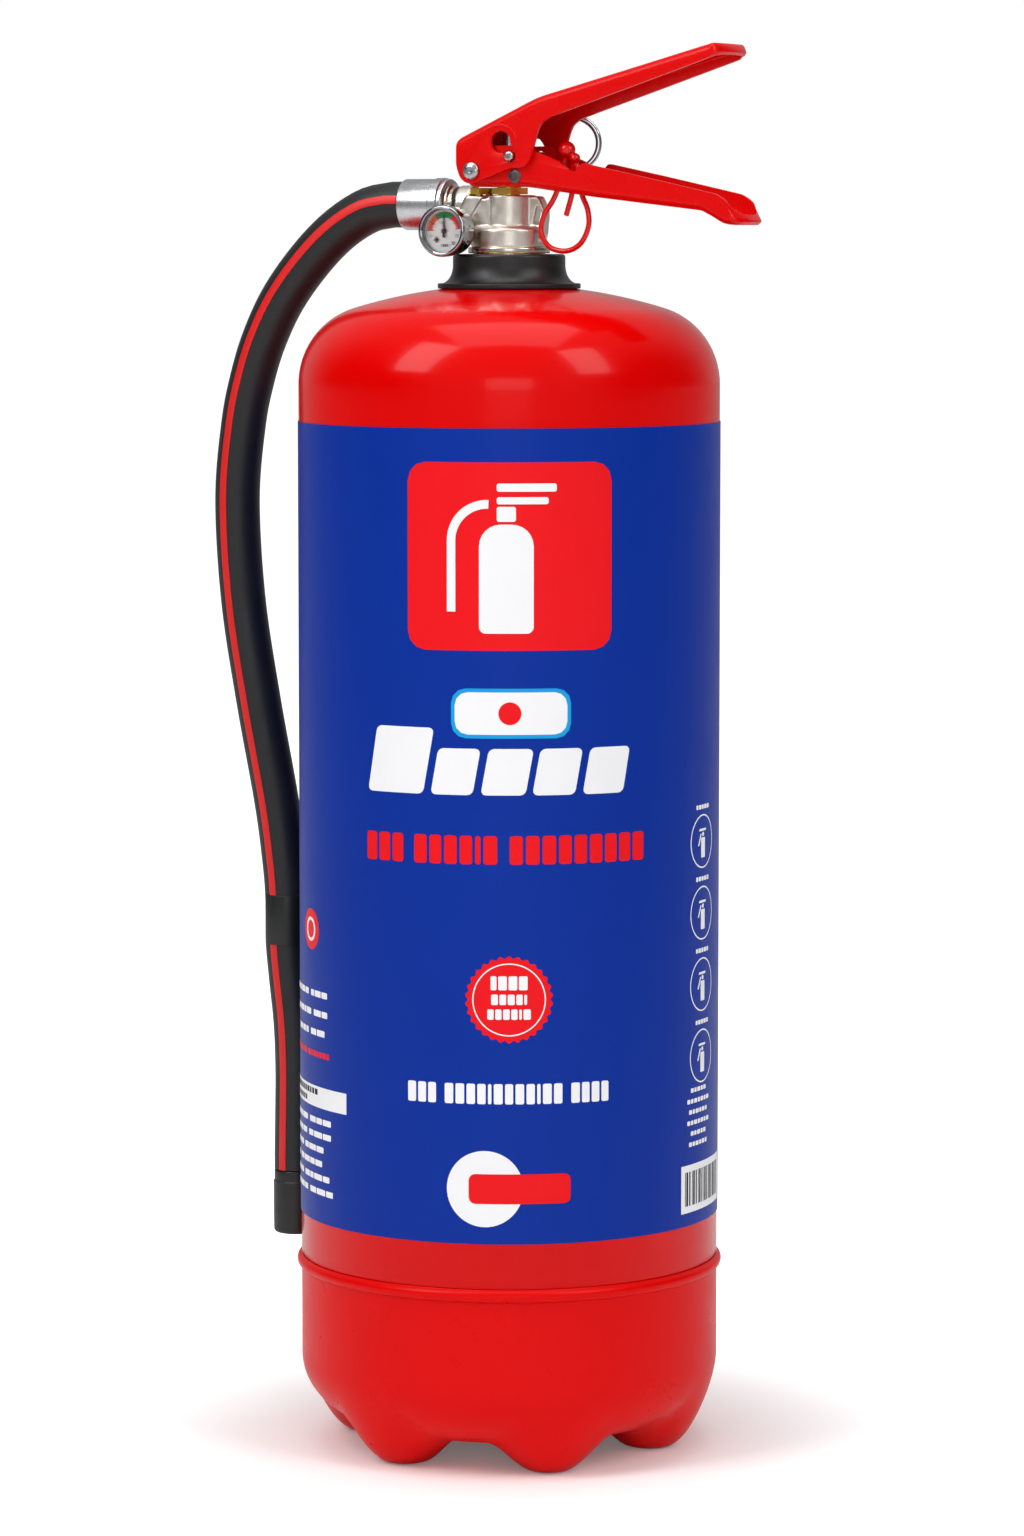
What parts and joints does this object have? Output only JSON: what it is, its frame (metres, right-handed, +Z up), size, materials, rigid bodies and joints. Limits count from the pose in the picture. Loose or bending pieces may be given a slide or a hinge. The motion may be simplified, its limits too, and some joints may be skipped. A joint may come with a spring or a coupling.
{
  "type": "portable fire extinguisher",
  "caption": "Portable stored-pressure fire extinguisher with squeeze-lever valve, safety pin and ring, pressure gauge, side hose in a clip and a footed base.",
  "frame": {"origin": "on the floor under the middle of the bounding box without the hose and nozzle; the cylinder's axis is 2.0 mm from it towards -X", "axes": "+Z up along the cylinder, +X the way the lever and the carry handle point, -X the hose side, -Y the pressure gauge's face"},
  "size_m": [0.2279, 0.1634, 0.5337],
  "materials": {
    "red_enamel": "deep red stove enamel, glossy",
    "red_sheet_enamel": "red powder coat on pressed sheet steel, glossy",
    "red_plastic": "moulded red polyethylene, satin",
    "label_film": "printed blue film with white and red areas, satin",
    "black_plastic": "moulded black nylon, satin",
    "black_rubber": "black rubber, matt, the hose with a red line",
    "nickel_brass": "hot-forged brass, nickel-washed and sand-textured",
    "brass": "turned brass, bright",
    "steel": "zinc-plated steel",
    "chrome": "bright chrome plate",
    "aluminium": "turned and crimped aluminium",
    "clear_plastic": "clear polycarbonate",
    "dial_white": "white printed dial with red and green arc",
    "pointer_black": "matt black pointer",
    "tube_plastic": "natural polyethylene tube"
  },
  "bodies": {
    "extinguisher": {"base_cup": "red_plastic", "bourdon_tube": "brass", "carry_handle": "red_sheet_enamel", "cylinder_shell": "red_enamel", "dip_tube": "tube_plastic", "gauge_bezel": "chrome", "gauge_case": "chrome", "gauge_dial": "dial_white", "gauge_lens": "clear_plastic", "gauge_o_ring": "black_rubber", "gauge_socket": "brass", "gland_nut": "brass", "gland_seal": "black_rubber", "handle_lock_nut": "brass", "handle_rivet_back": "steel", "handle_rivet_front": "steel", "hose": "black_rubber", "hose_clip": "black_plastic", "hose_end": "brass", "hose_ferrule": "aluminium", "label_sleeve": "label_film", "neck_collar": "black_plastic", "neck_o_ring": "black_rubber", "neck_ring": "brass", "nozzle": "black_plastic", "outlet_adapter": "brass", "outlet_washer": "black_rubber", "pivot_pin": "steel", "spring_retainer": "brass", "standoff_back": "brass", "standoff_front": "brass", "tamper_seal": "red_plastic", "valve_body": "nickel_brass", "valve_spring": "steel"},
    "lever": {"squeeze_lever": "red_sheet_enamel"},
    "stem": {"valve_stem": "brass", "stem_disc": "black_rubber"},
    "pin": {"safety_pin": "steel"},
    "ring": {"pull_ring": "chrome"},
    "pointer": {"gauge_pointer": "pointer_black"}
  },
  "joints": [
    {"name": "lever_press", "type": "hinge", "parent": "extinguisher", "child": "lever", "pos_m": [-0.00699, 0, 0.4872], "axis": [0, 1, 0], "range_deg": [0, 18], "stiffness_Nm_per_rad": 1, "springref_deg": -17.19},
    {"name": "stem_slide", "type": "slide", "parent": "extinguisher", "child": "stem", "axis": [0, 0, -1], "range_m": [0, 0.0043], "deforming": ["valve_spring"]},
    {"name": "safety_pin_pull", "type": "slide", "parent": "extinguisher", "child": "pin", "axis": [0, 1, 0], "range_m": [0, 0.034]},
    {"name": "pull_ring_swing", "type": "hinge", "parent": "pin", "child": "ring", "pos_m": [0.00911, 0.0205, 0.4926], "axis": [-0.4763, -0.2323, 0.848], "range_deg": [-10, 60]},
    {"name": "gauge_pointer_turn", "type": "hinge", "parent": "extinguisher", "child": "pointer", "pos_m": [-0.01459, -0.0212, 0.4647], "axis": [0, 1, 0], "range_deg": [-68, 68]}
  ],
  "couplings": [
    {"joint": "stem_slide", "follows": "lever_press", "m_per_rad": 0.0135}
  ]
}
